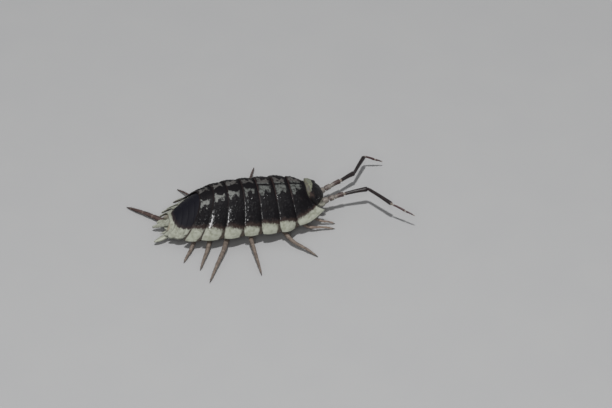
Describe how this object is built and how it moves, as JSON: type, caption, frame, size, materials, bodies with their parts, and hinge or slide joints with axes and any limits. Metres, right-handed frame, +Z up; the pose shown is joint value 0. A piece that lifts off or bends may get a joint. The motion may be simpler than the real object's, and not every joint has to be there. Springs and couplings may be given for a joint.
{
  "type": "woodlouse",
  "caption": "Still life-size model of a large black and white woodlouse walking, antennae spread forward, standing on its feet.",
  "frame": {"origin": "centre of the bounding box on the floor under the feet", "axes": "+X towards the head, +Y the animal's left side, +Z up"},
  "size_m": [0.0414, 0.0238, 0.0072],
  "materials": {
    "back_plate": "glossy black back plates with a greenish white margin and a row of grey patches each side of the midline",
    "head_capsule": "black, with a pale yellow green bar across the nape",
    "pale_plate": "greenish white, satin",
    "leg": "translucent grey brown",
    "red_limb": "reddish brown",
    "antenna_base": "beige white with dark bands",
    "antenna_dark": "black with pale joints",
    "antenna_lash": "dark red brown with a pale ring and tip",
    "eye": "black, faceted, glossy"
  },
  "bodies": {
    "root": {"antenna_left_article_4": "antenna_dark", "antenna_left_article_5": "antenna_dark", "antenna_left_base": "antenna_base", "antenna_left_flagellum": "antenna_lash", "antenna_right_article_4": "antenna_dark", "antenna_right_article_5": "antenna_dark", "antenna_right_base": "antenna_base", "antenna_right_flagellum": "antenna_lash", "eye_left": "eye", "eye_right": "eye", "head": "head_capsule", "leg_left_1": "leg", "leg_left_2": "leg", "leg_left_3": "leg", "leg_left_4": "leg", "leg_left_5": "leg", "leg_left_6": "leg", "leg_left_7": "red_limb", "leg_right_1": "leg", "leg_right_2": "leg", "leg_right_3": "leg", "leg_right_4": "leg", "leg_right_5": "leg", "leg_right_6": "leg", "leg_right_7": "leg", "mouthparts": "leg", "pereonite_1": "back_plate", "pereonite_2": "back_plate", "pereonite_3": "back_plate", "pereonite_4": "back_plate", "pereonite_5": "back_plate", "pereonite_6": "back_plate", "pereonite_7": "back_plate", "pleon": "back_plate", "telson": "pale_plate", "uropod_left": "pale_plate", "uropod_right": "pale_plate"}
  },
  "joints": []
}
